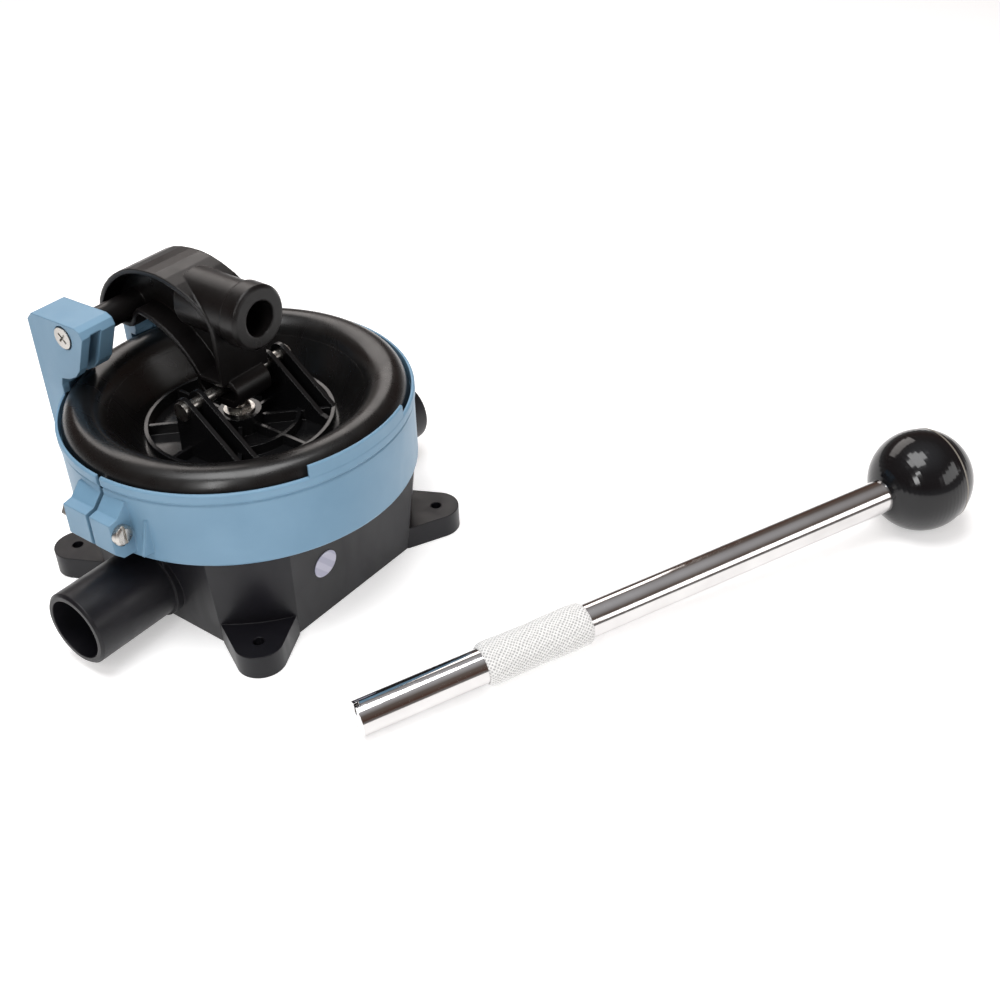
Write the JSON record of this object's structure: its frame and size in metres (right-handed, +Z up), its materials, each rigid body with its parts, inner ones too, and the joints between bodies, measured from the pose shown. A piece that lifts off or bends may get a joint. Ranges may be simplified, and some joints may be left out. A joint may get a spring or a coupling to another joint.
{
  "type": "bilge pump",
  "caption": "Hand-operated diaphragm bilge pump with a rocking lever, hose tails on both sides, a clamped rubber diaphragm and a loose ball-ended handle.",
  "frame": {"origin": "centre of the four mounting holes, on the underside of the base", "axes": "+Z up, -X out of the inlet hose tail, +X out of the outlet hose tail, -Y out of the handle socket"},
  "size_m": [0.3551, 0.3876, 0.1575],
  "materials": {
    "body_black": "satin moulded plastic",
    "ring_blue": "satin moulded plastic",
    "rubber_black": "polished rubber",
    "lever_black": "satin moulded plastic",
    "stainless": "plain",
    "chrome_tube": "polished",
    "nylon": "plain",
    "woven_white": "woven sleeve",
    "knob_black": "polished",
    "knob_line": "polished",
    "label": "plain"
  },
  "bodies": {
    "pump": {"pump_body": "body_black", "clamp_ring": "ring_blue", "clamp_screw": "stainless", "clamp_nut": "stainless", "inlet_valve_seat": "body_black", "outlet_valve_seat": "body_black", "inlet_flap_pin": "stainless", "outlet_flap_pin": "stainless", "diaphragm": "rubber_black", "pivot_pin": "stainless", "pivot_nut": "stainless", "inspection_sticker": "label"},
    "lever": {"lever_arm": "lever_black", "pivot_bush_left": "nylon", "pivot_bush_right": "nylon"},
    "plate": {"upper_plate": "body_black", "lower_plate": "body_black", "centre_bolt": "stainless", "centre_washer": "stainless", "centre_nut": "stainless", "link_pin": "stainless", "link_pin_clip": "stainless"},
    "inlet_valve": {"inlet_flap": "rubber_black"},
    "outlet_valve": {"outlet_flap": "rubber_black"},
    "handle": {"handle_tube": "chrome_tube", "handle_sleeve": "woven_white", "ball_knob": "knob_black", "knob_ring": "knob_line", "knob_stud": "stainless"}
  },
  "joints": [
    {"name": "lever_rock", "type": "hinge", "parent": "pump", "child": "lever", "pos_m": [0, 0.06, 0.128], "axis": [-1, 0, 0], "range_deg": [-12, 16]},
    {"name": "diaphragm_stroke", "type": "slide", "parent": "pump", "child": "plate", "axis": [0, 0, 1], "range_m": [-0.013, 0.0172], "deforming": ["diaphragm"]},
    {"name": "inlet_flap_swing", "type": "hinge", "parent": "pump", "child": "inlet_valve", "pos_m": [-0.0436, 0, 0.0394], "axis": [0, -1, 0], "range_deg": [0, 35], "stiffness_Nm_per_rad": 0.002},
    {"name": "outlet_flap_swing", "type": "hinge", "parent": "pump", "child": "outlet_valve", "pos_m": [0.0524, 0, 0.0394], "axis": [0, -1, 0], "range_deg": [0, 35], "stiffness_Nm_per_rad": 0.002},
    {"name": "handle_lift", "type": "slide", "parent": "pump", "child": "handle", "axis": [0, 0, 1], "range_m": [0, 0.25]}
  ],
  "couplings": [
    {"joint": "diaphragm_stroke", "follows": "lever_rock", "m_per_rad": 0.06}
  ]
}
